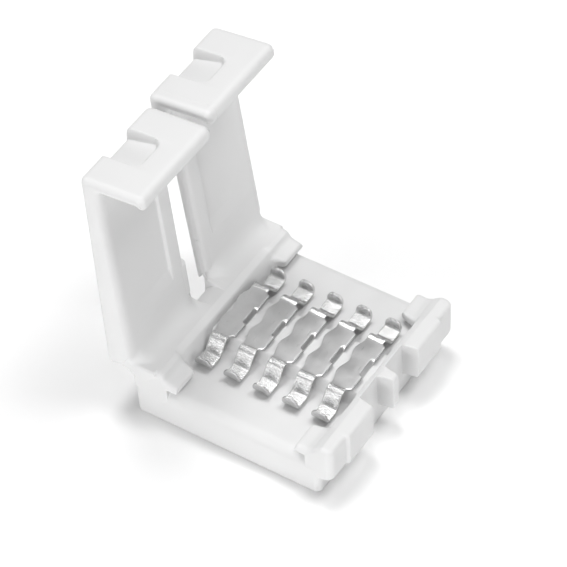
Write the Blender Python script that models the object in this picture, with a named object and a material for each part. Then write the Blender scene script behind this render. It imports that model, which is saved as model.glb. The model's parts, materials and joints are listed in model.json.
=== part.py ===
"""Solderless five-way joint for flexible light strip.

A moulded base holds five stamped contacts side by side. A strip end slides in
from each side, under the small guide ears, until its pads lie under the contact
feet. Two lids, hinged along the left edge of the base, then close over the two
strip ends and snap under ledges on the right edge.

Frame: origin at the centre of the base's bottom face, +Z up. The strip runs
along Y. The hinges are on the -X side, the ledges on the +X side.
"""

import math

import bmesh
import bpy
from mathutils import Matrix, Vector

MM = 0.001

# Base, in millimetres
BASE_LENGTH = 17.8
BASE_HEIGHT = 5.2
BASE_CORNER_RADIUS = 0.6
FLOOR_HEIGHT = 3.3
SILL_ROUNDING = 0.7

# Strip channel; the strip has one pad for each contact
CONTACT_COUNT = 5
CONTACT_PITCH = 2.6
STRIP_EDGE_MARGIN = 0.8
STRIP_SIDE_CLEARANCE = 0.13
SLOT_HEIGHT = 0.45
EAR_LENGTH = 2.65
EAR_REACH = 0.9
EAR_THICKNESS = 0.65
HINGE_WALL_WIDTH = 2.86
HINGE_WALL_ROUNDING = 0.75
SLOT_UNDERCUT = 0.19
LATCH_WALL_SETBACK = 0.6
LATCH_WALL_WIDTH = 0.59
LATCH_WALL_ROUNDING = 0.72
WALL_LEAN = 0.3

# Ledges on the latch side
CORNER_OVERHANG = 1.1
LEDGE_OVERHANG = 1.35
LEDGE_EMBEDDING = 0.5
OVERHANG_UNDERSIDE = 1.9
LEDGE_INNER_END = 3.15
LEDGE_OUTER_END = 6.7
DIVIDER_WIDTH = 0.9
LEDGE_ROUNDING = 0.2

# Contacts
SHEET_THICKNESS = 0.2
FOOT_WIDTH = 1.4
PLATE_WIDTH = 1.85
PLATE_WAIST = 0.3
PLATE_SIDE_STEP = 0.35
PLATE_END_REACH = 0.2
PLATE_END_RUN = 0.3
LEG_NOTCH_DEPTH = 0.35
LEG_NOTCH_HALF_LENGTH = 0.85
LEG_NOTCH_RUN = 0.1
PLATE_HALF_LENGTH = 2.44
CREST_HALF_LENGTH = 3.0
SLOPE_FOOT = 3.94
FOOT_END = 5.3
TIP_HEIGHT = 0.9
TIP_LEAN = 0.03
TIP_NARROWING = 0.42
SHEET_BEND = 0.14
CREST_DROP = 0.05
PLATE_RISE = 1.1
SEAT_GAP = 0.25
BLOCK_CLEARANCE = 0.3
BLOCK_END_RUN = 0.56
LEG_LENGTH = 1.6
LEG_DEPTH = 0.8
LEG_CLEARANCE = 0.25
LEG_SIDE_OFFSET = 0.4

# Lids: wedge-shaped plates, thickest at the hinge
LID_THICKNESS = 1.38
ROOT_THICKNESS = 2.36
LID_OVERRUN = 0.35
FRONT_OPEN_ANGLE = 95.0
REAR_OPEN_ANGLE = 97.0
HINGE_INSET = 0.35
HINGE_LIFT = 0.1
ROOT_START = 0.6
ROOT_BACK = 0.65
ROOT_UNDERCUT_HEIGHT = 1.1
HOOK_WALL = 1.0
HOOK_DEPTH = 5.84
HOOK_CLEARANCE = 0.2
HOOK_ROUNDING = 0.35
TIP_ROUNDING = 0.6
TIP_FLAT = 0.25
BARB_CLEARANCE = 0.1
HEAD_GAP = 1.0
PLATE_GAP = 2.6
PLATE_EDGE_THICKNESS = 1.1
HINGE_BAND_GAP = 1.8
HINGE_BAND_EDGE_THICKNESS = 0.85
HINGE_BAND_LENGTH = 3.8
GAP_BEVEL_ANGLE = 35.0
GAP_END_MARGIN = 0.7
RECESS_DEPTH = 0.2
RECESS_RIB = 1.35
RECESS_HINGE_BAND = 3.4
RECESS_HOOK_BAND = 1.6
NOTCH_WIDTH = 3.0
NOTCH_LENGTH = 3.3
NOTCH_DEPTH = 0.72
NOTCH_ROUNDING = 0.6

STRIP_WIDTH = (CONTACT_COUNT - 1) * CONTACT_PITCH + 2 * STRIP_EDGE_MARGIN
SLOT_HALF_WIDTH = STRIP_WIDTH / 2 + STRIP_SIDE_CLEARANCE
BASE_WIDTH = HINGE_WALL_WIDTH + SLOT_UNDERCUT + 2 * SLOT_HALF_WIDTH + LATCH_WALL_SETBACK + LATCH_WALL_WIDTH
HALF_WIDTH = BASE_WIDTH / 2
HALF_LENGTH = BASE_LENGTH / 2
EAR_TOP = FLOOR_HEIGHT + SLOT_HEIGHT + EAR_THICKNESS
EAR_UNDERSIDE = FLOOR_HEIGHT + SLOT_HEIGHT
CHANNEL_LEFT = HINGE_WALL_WIDTH - HALF_WIDTH
SLOT_LEFT = CHANNEL_LEFT + SLOT_UNDERCUT
CHANNEL_RIGHT = SLOT_LEFT + 2 * SLOT_HALF_WIDTH
LATCH_WALL_INNER = CHANNEL_RIGHT + LATCH_WALL_SETBACK
FOOT_UNDERSIDE = FLOOR_HEIGHT + SEAT_GAP
PLATE_UNDERSIDE = FOOT_UNDERSIDE + PLATE_RISE
BLOCK_TOP = PLATE_UNDERSIDE - BLOCK_CLEARANCE
HINGE_X = HINGE_INSET - HALF_WIDTH
HINGE_Z = BASE_HEIGHT + HINGE_LIFT
LID_UNDERSIDE = HINGE_Z + HINGE_LIFT
LID_TOP = LID_UNDERSIDE + LID_THICKNESS
LID_OUTER = HALF_WIDTH + LEDGE_OVERHANG + HOOK_CLEARANCE + HOOK_WALL
LID_END = HALF_LENGTH + LID_OVERRUN
HOOK_TIP = LID_TOP - HOOK_DEPTH
MOULD_WHITE = (0.86, 0.86, 0.86)
TIN_GREY = (0.62, 0.62, 0.62)
OVERRUN = 1.0


def material(name, colour, roughness, metallic):
    """Return a Principled material with one colour and finish."""
    made = bpy.data.materials.new(name)
    made.use_nodes = True
    surface = made.node_tree.nodes["Principled BSDF"]
    surface.inputs["Base Color"].default_value = (*colour, 1.0)
    surface.inputs["Roughness"].default_value = roughness
    surface.inputs["Metallic"].default_value = metallic
    return made


def add_object(name, shape):
    """Turn a bmesh in millimetres into an object in metres, and free the bmesh."""
    bmesh.ops.recalc_face_normals(shape, faces=shape.faces)
    bmesh.ops.scale(shape, vec=(MM, MM, MM), verts=shape.verts)
    mesh = bpy.data.meshes.new(name)
    shape.to_mesh(mesh)
    shape.free()
    made = bpy.data.objects.new(name, mesh)
    bpy.context.scene.collection.objects.link(made)
    return made


def bevel_edges(shape, wanted, width, segments):
    """Round the edges whose two end points both pass the test."""
    chosen = [edge for edge in shape.edges if all(wanted(corner.co) for corner in edge.verts)]
    if chosen:
        bmesh.ops.bevel(shape, geom=chosen, offset=width, segments=segments,
                        profile=0.5, affect="EDGES", clamp_overlap=True)


def box(low, high):
    """Return a bmesh box between two corners."""
    shape = bmesh.new()
    bmesh.ops.create_cube(shape, size=1.0)
    for corner in shape.verts:
        corner.co = Vector([low[i] if corner.co[i] < 0 else high[i] for i in range(3)])
    return shape


def rounded_post(low, high, radius, wanted, segments=5):
    """Return a box whose chosen upright edges are rounded."""
    shape = box(low, high)
    upright = [edge for edge in shape.edges
               if abs(edge.verts[0].co.z - edge.verts[1].co.z) > 1e-6 and wanted(edge.verts[0].co)]
    bmesh.ops.bevel(shape, geom=upright, offset=radius, segments=segments,
                    profile=0.5, affect="EDGES", clamp_overlap=True)
    return shape


def prism(outline, start, stop):
    """Extrude an outline of (x, z) points along Y."""
    shape = bmesh.new()
    ring = [shape.verts.new((x, start, z)) for x, z in outline]
    face = shape.faces.new(ring)
    grown = bmesh.ops.extrude_face_region(shape, geom=[face])
    moved = [item for item in grown["geom"] if isinstance(item, bmesh.types.BMVert)]
    bmesh.ops.translate(shape, vec=(0.0, stop - start, 0.0), verts=moved)
    bmesh.ops.recalc_face_normals(shape, faces=shape.faces)
    return shape


def arc(centre, radius, start, stop, segments):
    """Return points along an arc, with angles in degrees."""
    points = []
    for step in range(segments + 1):
        angle = math.radians(start + (stop - start) * step / segments)
        points.append((centre[0] + radius * math.cos(angle), centre[1] + radius * math.sin(angle)))
    return points


def boolean(target, tool, operation):
    """Add an exact Boolean to the target and make the tool a wire guide."""
    step = target.modifiers.new(operation.title() + " " + tool.name, "BOOLEAN")
    step.solver = "EXACT"
    step.operation = operation
    step.object = tool
    tool.hide_render = True
    tool.display_type = "WIRE"


def bake(target):
    """Replace the target's mesh with its modified one."""
    bpy.context.view_layer.update()
    evaluated = target.evaluated_get(bpy.context.evaluated_depsgraph_get())
    baked = bpy.data.meshes.new_from_object(evaluated)
    target.modifiers.clear()
    target.data = baked


def round_baked(target, wanted, width, segments):
    """Round chosen edges of a finished mesh; the test reads points in millimetres."""
    shape = bmesh.new()
    shape.from_mesh(target.data)
    bmesh.ops.scale(shape, vec=(1 / MM, 1 / MM, 1 / MM), verts=shape.verts)
    bmesh.ops.dissolve_limit(shape, angle_limit=math.radians(1.0), verts=shape.verts,
                             edges=shape.edges)
    bevel_edges(shape, wanted, width, segments)
    bmesh.ops.scale(shape, vec=(MM, MM, MM), verts=shape.verts)
    shape.to_mesh(target.data)
    shape.free()


def finish(target, surface, moving=None):
    """Give an object its material, smooth shading and, if it moves, its hinge as parent."""
    target.data.materials.clear()
    target.data.materials.append(surface)
    target.data.shade_smooth()
    target.data.set_sharp_from_angle(angle=math.radians(30))
    if moving:
        target.parent = moving
        target.matrix_parent_inverse = moving.matrix_world.inverted()


def latch_wall_shoulder():
    """Rounded inner top edge of the wall under the ledges, from the channel upwards."""
    turn = LATCH_WALL_INNER + LATCH_WALL_ROUNDING
    rounding = arc((turn, BASE_HEIGHT - LATCH_WALL_ROUNDING), LATCH_WALL_ROUNDING, 180, 90, 6)
    return rounding + [(turn, BASE_HEIGHT + OVERRUN)]


def end_channel_outline():
    """Outline of the channel at a strip entry: a slot under two ears, open above them."""
    top = BASE_HEIGHT + OVERRUN
    left = [(CHANNEL_LEFT, top), (CHANNEL_LEFT, EAR_TOP), (SLOT_LEFT + EAR_REACH, EAR_TOP),
            (SLOT_LEFT + EAR_REACH, EAR_UNDERSIDE), (SLOT_LEFT, EAR_UNDERSIDE), (SLOT_LEFT, FLOOR_HEIGHT)]
    right = [(CHANNEL_RIGHT, FLOOR_HEIGHT), (CHANNEL_RIGHT, EAR_UNDERSIDE),
             (CHANNEL_RIGHT - EAR_REACH, EAR_UNDERSIDE), (CHANNEL_RIGHT - EAR_REACH, EAR_TOP),
             (LATCH_WALL_INNER, EAR_TOP)]
    return left + right + latch_wall_shoulder()


def middle_channel_outline():
    """Outline of the channel between the ears, with a rounded, leaning wall on the hinge side."""
    turn = CHANNEL_LEFT - HINGE_WALL_ROUNDING
    wall = [(turn, BASE_HEIGHT + OVERRUN)]
    wall += arc((turn, BASE_HEIGHT - HINGE_WALL_ROUNDING), HINGE_WALL_ROUNDING, 90, 0, 6)
    wall += [(CHANNEL_LEFT + WALL_LEAN, FLOOR_HEIGHT), (LATCH_WALL_INNER, FLOOR_HEIGHT)]
    return wall + latch_wall_shoulder()


def contact_right_edge(index):
    """Right edge of a contact's foot; the row is centred in the strip channel."""
    centre = (SLOT_LEFT + CHANNEL_RIGHT) / 2 + (index - (CONTACT_COUNT - 1) / 2) * CONTACT_PITCH
    return centre + FOOT_WIDTH / 2


def contact_block_outline():
    """Side view of the raised block under the contacts, in (y, z)."""
    top_half = PLATE_HALF_LENGTH - BLOCK_CLEARANCE
    foot_half = top_half + BLOCK_END_RUN
    return [(-foot_half, FLOOR_HEIGHT - OVERRUN), (-foot_half, FLOOR_HEIGHT), (-top_half, BLOCK_TOP),
            (top_half, BLOCK_TOP), (foot_half, FLOOR_HEIGHT), (foot_half, FLOOR_HEIGHT - OVERRUN)]


def contact_block():
    """Raised block from wall to wall under the row of contacts, which carries their plates."""
    shape = prism(contact_block_outline(), CHANNEL_LEFT - WALL_LEAN, LATCH_WALL_INNER + WALL_LEAN)
    bmesh.ops.rotate(shape, matrix=Matrix.Rotation(math.radians(-90), 3, "Z"), verts=shape.verts)
    return add_object("contact_block_shape", shape)


def latch_side(target):
    """Add the corner overhangs, two ledges and the divider of the latch side."""
    inner = HALF_WIDTH - LEDGE_EMBEDDING
    for side in (-1, 1):
        near, far = sorted((side * (LEDGE_OUTER_END - OVERRUN), side * HALF_LENGTH))
        corner = rounded_post((inner, near, OVERHANG_UNDERSIDE), (HALF_WIDTH + CORNER_OVERHANG, far, BASE_HEIGHT),
                              BASE_CORNER_RADIUS,
                              lambda at: at.x > inner + OVERRUN / 2 and at.y * side > LEDGE_OUTER_END)
        boolean(target, add_object("corner_overhang_shape", corner), "UNION")
        near, far = sorted((side * LEDGE_INNER_END, side * LEDGE_OUTER_END))
        ledge = rounded_post((inner, near, OVERHANG_UNDERSIDE), (HALF_WIDTH + LEDGE_OVERHANG, far, BASE_HEIGHT),
                             LEDGE_ROUNDING, lambda at: at.x > inner + OVERRUN / 2, 2)
        boolean(target, add_object("ledge_shape", ledge), "UNION")
    divider = rounded_post((inner, -DIVIDER_WIDTH / 2, OVERHANG_UNDERSIDE),
                           (HALF_WIDTH + LEDGE_OVERHANG, DIVIDER_WIDTH / 2, BASE_HEIGHT),
                           LEDGE_ROUNDING, lambda at: at.x > inner + OVERRUN / 2, 2)
    boolean(target, add_object("divider_shape", divider), "UNION")


def base_housing(surface):
    """Moulded base: channel, guide ears, contact block and latch ledges."""
    block = rounded_post((-HALF_WIDTH, -HALF_LENGTH, 0.0), (HALF_WIDTH, HALF_LENGTH, BASE_HEIGHT),
                         BASE_CORNER_RADIUS, lambda at: True)
    made = add_object("base_housing", block)
    latch_side(made)
    entry = HALF_LENGTH - EAR_LENGTH
    middle = prism(middle_channel_outline(), -entry, entry)
    boolean(made, add_object("middle_channel_cut", middle), "DIFFERENCE")
    for side in (-1, 1):
        start, stop = sorted((side * (entry - 0.001), side * (HALF_LENGTH + OVERRUN)))
        mouth = prism(end_channel_outline(), start, stop)
        boolean(made, add_object("channel_mouth_cut", mouth), "DIFFERENCE")
    boolean(made, contact_block(), "UNION")
    for index in range(CONTACT_COUNT):
        boolean(made, leg_pocket(index), "DIFFERENCE")
    bake(made)
    sill = FLOOR_HEIGHT
    round_baked(made, lambda at: abs(abs(at.y) - HALF_LENGTH) < 1e-3 and abs(at.z - sill) < 1e-3
                and SLOT_LEFT - 1e-3 < at.x < CHANNEL_RIGHT + 1e-3, SILL_ROUNDING, 4)
    finish(made, surface)
    return made


def leg_pocket(index):
    """Pocket in the contact block for one contact's bent-down leg."""
    right = contact_right_edge(index) + PLATE_SIDE_STEP
    low = (right - LEG_SIDE_OFFSET - SHEET_THICKNESS - LEG_CLEARANCE, -LEG_LENGTH / 2 - LEG_CLEARANCE,
           PLATE_UNDERSIDE - LEG_DEPTH - LEG_CLEARANCE)
    high = (right - LEG_SIDE_OFFSET + LEG_CLEARANCE, LEG_LENGTH / 2 + LEG_CLEARANCE, BLOCK_TOP + OVERRUN)
    return add_object("leg_pocket_cut", box(low, high))


def contact_side_line():
    """Centre line of the bent sheet, in (y, z), from one tip to the other."""
    lift = FOOT_UNDERSIDE + SHEET_THICKNESS / 2
    crown = PLATE_UNDERSIDE + SHEET_THICKNESS / 2
    tip_base = FOOT_END - SHEET_THICKNESS
    half = [(0.0, crown), (LEG_NOTCH_HALF_LENGTH, crown), (LEG_NOTCH_HALF_LENGTH + LEG_NOTCH_RUN, crown)]
    half += [(PLATE_HALF_LENGTH, crown), (CREST_HALF_LENGTH, crown - CREST_DROP)]
    half += [(CREST_HALF_LENGTH + SHEET_BEND, crown - 4 * CREST_DROP)]
    half += [(SLOPE_FOOT - SHEET_BEND, lift + SHEET_BEND), (SLOPE_FOOT, lift)]
    half += [(tip_base, lift), (tip_base + SHEET_BEND, lift + SHEET_BEND), (FOOT_END, lift + TIP_HEIGHT / 2),
             (FOOT_END + TIP_LEAN, lift + TIP_HEIGHT)]
    return [(-y, z) for y, z in reversed(half[1:])] + half


def offset_line(line, distance):
    """Shift a polyline sideways, with mitred corners."""
    shifted = []
    for index, point in enumerate(line):
        before = Vector(line[max(index - 1, 0)])
        after = Vector(line[min(index + 1, len(line) - 1)])
        here = Vector(point)
        normals = []
        for start, stop in ((before, here), (here, after)):
            run = stop - start
            if run.length > 1e-9:
                normals.append(Vector((-run.y, run.x)).normalized())
        mitre = sum(normals, Vector((0.0, 0.0))) / len(normals)
        shifted.append(tuple(here + mitre * (distance / max(mitre.length_squared, 0.25))))
    return shifted


def contact_edges(y, index):
    """Left and right edge of a contact's outline at one place along it."""
    right = contact_right_edge(index)
    left = right - FOOT_WIDTH
    inside = min(max((PLATE_HALF_LENGTH + PLATE_END_REACH - abs(y)) / PLATE_END_RUN, 0.0), 1.0)
    lobe = (1 - math.cos(min(abs(y) / PLATE_HALF_LENGTH, 1.0) * 2 * math.pi)) / 2
    left -= inside * (PLATE_WIDTH - FOOT_WIDTH - PLATE_SIDE_STEP + PLATE_WAIST * lobe - PLATE_WAIST / 2)
    right += PLATE_SIDE_STEP * inside
    if abs(y) < LEG_NOTCH_HALF_LENGTH + 1e-6:
        right -= LEG_NOTCH_DEPTH
    tip = min(max((abs(y) - FOOT_END + TIP_LEAN) / (2 * TIP_LEAN), 0.0), 1.0)
    squeeze = tip * TIP_NARROWING
    return left + squeeze, right - squeeze


def refine(line, longest):
    """Add points to a polyline so that no run is longer than the given length."""
    fine = [line[0]]
    for start, stop in zip(line, line[1:]):
        run = math.dist(start, stop)
        pieces = max(1, math.ceil(run / longest))
        for step in range(1, pieces + 1):
            fine.append(tuple(a + (b - a) * step / pieces for a, b in zip(start, stop)))
    return fine


def contact(index, surface):
    """Stamped contact: wide plate, two sloped arms, flat feet and turned-up tips."""
    line = refine(contact_side_line(), 0.42)
    half = SHEET_THICKNESS / 2
    upper = offset_line(line, half)
    lower = offset_line(line, -half)
    shape = bmesh.new()
    rings = []
    for (y, _), top, bottom in zip(line, upper, lower):
        left, right = contact_edges(y, index)
        corners = ((left, *bottom), (right, *bottom), (right, *top), (left, *top))
        rings.append([shape.verts.new(corner) for corner in corners])
    for first, second in zip(rings, rings[1:]):
        for side in range(4):
            following = (side + 1) % 4
            shape.faces.new((first[side], first[following], second[following], second[side]))
    shape.faces.new(rings[0])
    shape.faces.new(reversed(rings[-1]))
    made = add_object("contact_%d" % (index + 1), shape)
    edge = contact_right_edge(index) + PLATE_SIDE_STEP - LEG_SIDE_OFFSET
    leg = box((edge - SHEET_THICKNESS, -LEG_LENGTH / 2, PLATE_UNDERSIDE - LEG_DEPTH),
              (edge, LEG_LENGTH / 2, PLATE_UNDERSIDE + half))
    boolean(made, add_object("leg_shape", leg), "UNION")
    bake(made)
    finish(made, surface)
    return made


def lid_outline():
    """End view of a closed lid in (x, z): wedge plate, hook wall, barb's arc and thick root."""
    inner = LID_OUTER - HOOK_WALL
    ledge = Vector((HALF_WIDTH + LEDGE_OVERHANG - HINGE_X, OVERHANG_UNDERSIDE - HINGE_Z))
    sweep = ledge.length + BARB_CLEARANCE
    barb = []
    for share in (0.2, 0.5, 0.75):
        z = OVERHANG_UNDERSIDE - share * (OVERHANG_UNDERSIDE - HOOK_TIP)
        barb.append((HINGE_X + math.sqrt(sweep ** 2 - (z - HINGE_Z) ** 2), z))
    outline = [(HINGE_X + ROOT_START, LID_UNDERSIDE), (inner, LID_UNDERSIDE), (inner, OVERHANG_UNDERSIDE)]
    outline += barb + [(barb[-1][0] + TIP_FLAT, HOOK_TIP)]
    outline += arc((LID_OUTER - TIP_ROUNDING, HOOK_TIP + TIP_ROUNDING), TIP_ROUNDING, -90, 0, 4)
    outline += arc((LID_OUTER - HOOK_ROUNDING, LID_TOP - HOOK_ROUNDING), HOOK_ROUNDING, 0, 90, 4)
    crown = LID_UNDERSIDE + ROOT_THICKNESS
    back = HINGE_X - ROOT_BACK
    outline += [(HINGE_X, crown), (back + ROOT_BACK / 3, crown - ROOT_BACK / 8), (back, crown - ROOT_BACK / 2)]
    outline += [(back + ROOT_BACK / 4, LID_UNDERSIDE + ROOT_UNDERCUT_HEIGHT),
                (HINGE_X + ROOT_START / 6, LID_UNDERSIDE + ROOT_START)]
    return outline


def lid_gap_cut(side, gap, thickness, start, stop):
    """Cutter that sets a stretch of a lid's plate back from the gap and bevels its outer face there."""
    edge = LID_UNDERSIDE + thickness
    rise = ROOT_THICKNESS + OVERRUN - thickness
    run = rise / math.tan(math.radians(GAP_BEVEL_ANGLE))
    outline = [(gap / 2, LID_UNDERSIDE - OVERRUN), (gap / 2, edge), (gap / 2 + run, edge + rise),
               (-OVERRUN, edge + rise), (-OVERRUN, LID_UNDERSIDE - OVERRUN)]
    shape = prism([(-side * y, z) for y, z in outline], start, stop)
    bmesh.ops.rotate(shape, matrix=Matrix.Rotation(math.radians(-90), 3, "Z"), verts=shape.verts)
    return add_object("lid_gap_cut", shape)


def lid(name, side, hinge, surface):
    """Hinged lid over one strip end, with a recessed inside, a hook and a thumb notch."""
    near, far = sorted((side * HEAD_GAP / 2, side * LID_END))
    made = add_object(name, prism(lid_outline(), near, far))
    band_end = HINGE_X + HINGE_BAND_LENGTH
    boolean(made, lid_gap_cut(side, HINGE_BAND_GAP, HINGE_BAND_EDGE_THICKNESS,
                              HINGE_X - ROOT_BACK - OVERRUN, band_end), "DIFFERENCE")
    boolean(made, lid_gap_cut(side, PLATE_GAP, PLATE_EDGE_THICKNESS,
                              band_end - 1e-3, LID_OUTER - HOOK_WALL - GAP_END_MARGIN), "DIFFERENCE")
    recess_near, recess_far = sorted((side * (PLATE_GAP / 2 + RECESS_RIB), side * (LID_END - RECESS_RIB)))
    recess = box((HINGE_X + RECESS_HINGE_BAND, recess_near, LID_UNDERSIDE - OVERRUN),
                 (LID_OUTER - HOOK_WALL - RECESS_HOOK_BAND, recess_far, LID_UNDERSIDE + RECESS_DEPTH))
    boolean(made, add_object("lid_recess_cut", recess), "DIFFERENCE")
    middle = side * (HEAD_GAP / 2 + LID_END) / 2
    notch = box((LID_OUTER - NOTCH_DEPTH, middle - NOTCH_WIDTH / 2, LID_TOP - NOTCH_LENGTH),
                (LID_OUTER + OVERRUN, middle + NOTCH_WIDTH / 2, LID_TOP + OVERRUN))
    bevel_edges(notch, lambda at: at.x < LID_OUTER - NOTCH_DEPTH / 2 and at.z < LID_TOP, NOTCH_ROUNDING, 4)
    boolean(made, add_object("thumb_notch_cut", notch), "DIFFERENCE")
    bake(made)
    finish(made, surface, hinge)
    return made


def hinge_line(name):
    """Empty on a lid's hinge line, about which the lid turns."""
    made = bpy.data.objects.new(name, None)
    made.location = (HINGE_X * MM, 0.0, HINGE_Z * MM)
    made.empty_display_size = 2 * MM
    bpy.context.scene.collection.objects.link(made)
    bpy.context.view_layer.update()
    return made


def main():
    for item in list(bpy.data.objects):
        bpy.data.objects.remove(item)
    plastic = material("white_moulding", MOULD_WHITE, 0.45, 0.0)
    front_plastic = material("front_lid_white", MOULD_WHITE, 0.45, 0.0)
    rear_plastic = material("rear_lid_white", MOULD_WHITE, 0.45, 0.0)
    base_housing(plastic)
    for index in range(CONTACT_COUNT):
        contact(index, material("tinned_sheet_%d" % (index + 1), TIN_GREY, 0.35, 1.0))
    for name, side, angle, surface in (("front_lid", -1, FRONT_OPEN_ANGLE, front_plastic),
                                       ("rear_lid", 1, REAR_OPEN_ANGLE, rear_plastic)):
        hinge = hinge_line(name + "_hinge")
        lid(name, side, hinge, surface)
        hinge.rotation_euler = (0.0, -math.radians(angle), 0.0)
    bpy.context.view_layer.update()


main()
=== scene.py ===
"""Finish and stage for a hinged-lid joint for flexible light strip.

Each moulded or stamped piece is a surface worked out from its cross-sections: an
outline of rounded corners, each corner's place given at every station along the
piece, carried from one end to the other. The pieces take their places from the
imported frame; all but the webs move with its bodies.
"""

import json
import math
from types import SimpleNamespace

import bmesh
import bpy
import numpy as np
from bpy.props import FloatProperty, FloatVectorProperty, IntProperty, PointerProperty
from mathutils import Matrix, Vector


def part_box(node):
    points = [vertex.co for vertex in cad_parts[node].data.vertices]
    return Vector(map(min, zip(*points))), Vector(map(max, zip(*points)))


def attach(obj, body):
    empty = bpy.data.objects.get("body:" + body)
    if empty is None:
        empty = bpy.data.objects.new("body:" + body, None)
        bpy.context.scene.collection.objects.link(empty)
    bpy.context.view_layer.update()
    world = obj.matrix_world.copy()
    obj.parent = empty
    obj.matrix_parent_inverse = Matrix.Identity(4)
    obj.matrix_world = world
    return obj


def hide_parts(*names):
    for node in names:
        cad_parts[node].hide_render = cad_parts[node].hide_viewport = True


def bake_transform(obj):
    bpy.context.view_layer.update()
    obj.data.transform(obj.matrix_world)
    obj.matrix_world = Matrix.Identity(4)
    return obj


bl_info = {
    "name": "Light Strip Joint",
    "version": (1, 0, 0),
    "blender": (4, 5, 0),
    "location": "3D View > Sidebar > Strip Joint",
    "description": "Moulded base, hinged lids and stamped contacts of a light strip joint",
    "category": "Object",
}

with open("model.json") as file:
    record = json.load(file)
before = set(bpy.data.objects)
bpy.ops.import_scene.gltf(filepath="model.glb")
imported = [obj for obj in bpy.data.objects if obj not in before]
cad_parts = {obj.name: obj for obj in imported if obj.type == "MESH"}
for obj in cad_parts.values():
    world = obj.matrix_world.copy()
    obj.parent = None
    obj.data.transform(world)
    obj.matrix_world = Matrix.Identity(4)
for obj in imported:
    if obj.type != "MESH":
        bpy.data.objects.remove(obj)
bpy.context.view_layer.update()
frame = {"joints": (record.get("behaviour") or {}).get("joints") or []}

MM = 0.001
WELD = 0.002
BASE_LOW, BASE_HIGH = (np.array(corner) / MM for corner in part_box("base_housing"))
JOINTS = {joint["child"]: joint for joint in frame["joints"]}
LIDS = ("front_lid", "rear_lid")
HINGE_X, _, HINGE_Z = (value / MM for value in JOINTS["front_lid"]["pos_m"])
OPENING = {name: JOINTS[name]["range_deg"][1] for name in LIDS}

# Roundings, in millimetres, of corners that read as sharp and as nearly sharp
CRISP = 0.05
NEAT = 0.1

# Spacing of stations, in millimetres, and steps across each rounded corner
BASE_SPACING, LID_SPACING, SHEET_SPACING = 0.4, 0.3, 0.05
BASE_STEPS, LID_STEPS, WEB_STEPS, BEND_STEPS, EDGE_STEPS = 6, 7, 12, 9, 4

# Shares of a wall top's rounding kept at the ears: at 45 and 90 degrees, and on the hinge side
EAR_CROWN, EAR_CREST, EAR_HINGE = 1.6, 0.75, 0.7

# Shares of a wall's height at which an ear's corners leave it
EAR_DEPTHS = (0.3, 0.6, 0.8)

# Shares of the root's reach behind the hinge line where the web joins it, across and down
WEB_ACROSS, WEB_DOWN = 0.9, 0.6

# Each lamp's name, bearing and rise in degrees, distance and size in metres, and watts
LAMPS = (
    ("back_lamp", 130.0, 67.0, 0.6, 0.24, 1.4),
    ("top_lamp", 228.0, 73.0, 0.6, 0.18, 1.42),
    ("front_lamp", 5.0, 8.0, 0.6, 0.35, 2.5),
    ("side_lamp", 75.0, 9.0, 0.6, 0.35, 0.9),
    ("left_lamp", 290.0, 62.0, 0.14, 0.07, 0.028),
)


def length(default_mm, description):
    """A length property, given in millimetres and held in metres."""
    return FloatProperty(description=description, default=default_mm * MM,
                         precision=5, unit="LENGTH", subtype="DISTANCE")


def angle(default_degrees, description):
    """An angle property, given in degrees."""
    return FloatProperty(description=description, default=math.radians(default_degrees),
                         subtype="ANGLE")


def fraction(default, description):
    """A property from 0 to 1."""
    return FloatProperty(description=description, default=default, min=0, max=1,
                         subtype="FACTOR")


def grey(level, description):
    """A colour property whose default is a plain grey."""
    return FloatVectorProperty(description=description, default=(level,) * 3,
                               subtype="COLOR", size=3, min=0, max=1)


def in_mm(group):
    """Every value of a property group, its lengths in millimetres."""
    units = {key: MM if group.bl_rna.properties[key].subtype == "DISTANCE" else 1.0
             for key in group.__annotations__}
    return SimpleNamespace(**{key: getattr(group, key) / unit for key, unit in units.items()})


class HousingSizes(bpy.types.PropertyGroup):
    """Sizes of the moulded base."""

    width: length(16.5, "Width of the base at its bottom")
    corner_radius: length(0.6, "Rounding of the upright corners")
    edge_radius: length(0.4, "Rounding of the top edges")
    foot_radius: length(0.12, "Rounding of the bottom edges")
    floor: length(3.3, "Height of the channel floor")
    sill_radius: length(0.9, "Rounding of the floor where the strip enters")
    hinge_wall: length(2.86, "Width of the wall on the hinge side")
    slot_undercut: length(0.19, "How far the strip slot reaches under that wall")
    slot_width: length(12.26, "Width of the strip slot")
    slot_height: length(0.45, "Height of the strip slot under the ears")
    ear_length: length(2.65, "Length of a guide ear along the strip")
    ear_reach: length(0.9, "How far an ear covers the strip")
    ear_thickness: length(0.65, "Thickness of an ear")
    latch_setback: length(0.6, "From the slot to the wall on the latch side")
    latch_rounding: length(0.72, "Rounding of that wall's inner top edge")
    hinge_rounding: length(0.8, "Rounding of that wall's inner top edge")
    wall_lean: length(0.25, "How far the hinge wall leans in towards the floor")
    corner_overhang: length(1.1, "Overhang of the two end parts")
    ledge_overhang: length(1.35, "Overhang of the latch ledges and the divider")
    underside: length(1.9, "Height of the overhang's underside")
    ledge_inner: length(3.15, "From the middle to a ledge")
    ledge_outer: length(6.7, "From the middle to a ledge's far end")
    divider: length(0.9, "Width of the divider between the recesses")
    step_run: length(0.26, "Run of the drafted steps along the sides")
    ear_run: length(0.5, "Run of an ear's rounded inner end")
    ear_fillet: length(0.5, "From a wall to where its ear's top starts to rise")
    gap_cut: length(1.0, "Half length of the rounded stretch between the two webs")
    gap_rounding: length(2.0, "Rounding of the hinge wall's back edge there")
    soft_radius: length(0.3, "Rounding where the channel's walls change")
    slot_radius: length(0.12, "Rounding of an ear's lower edges")
    slot_corner: length(0.15, "Rounding of the slot's lower corners")
    ear_rise: length(0.05, "Rise of the hinge side's ears at their wall")
    ear_fall: length(0.1, "Fall of those ears at their tips")


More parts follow.
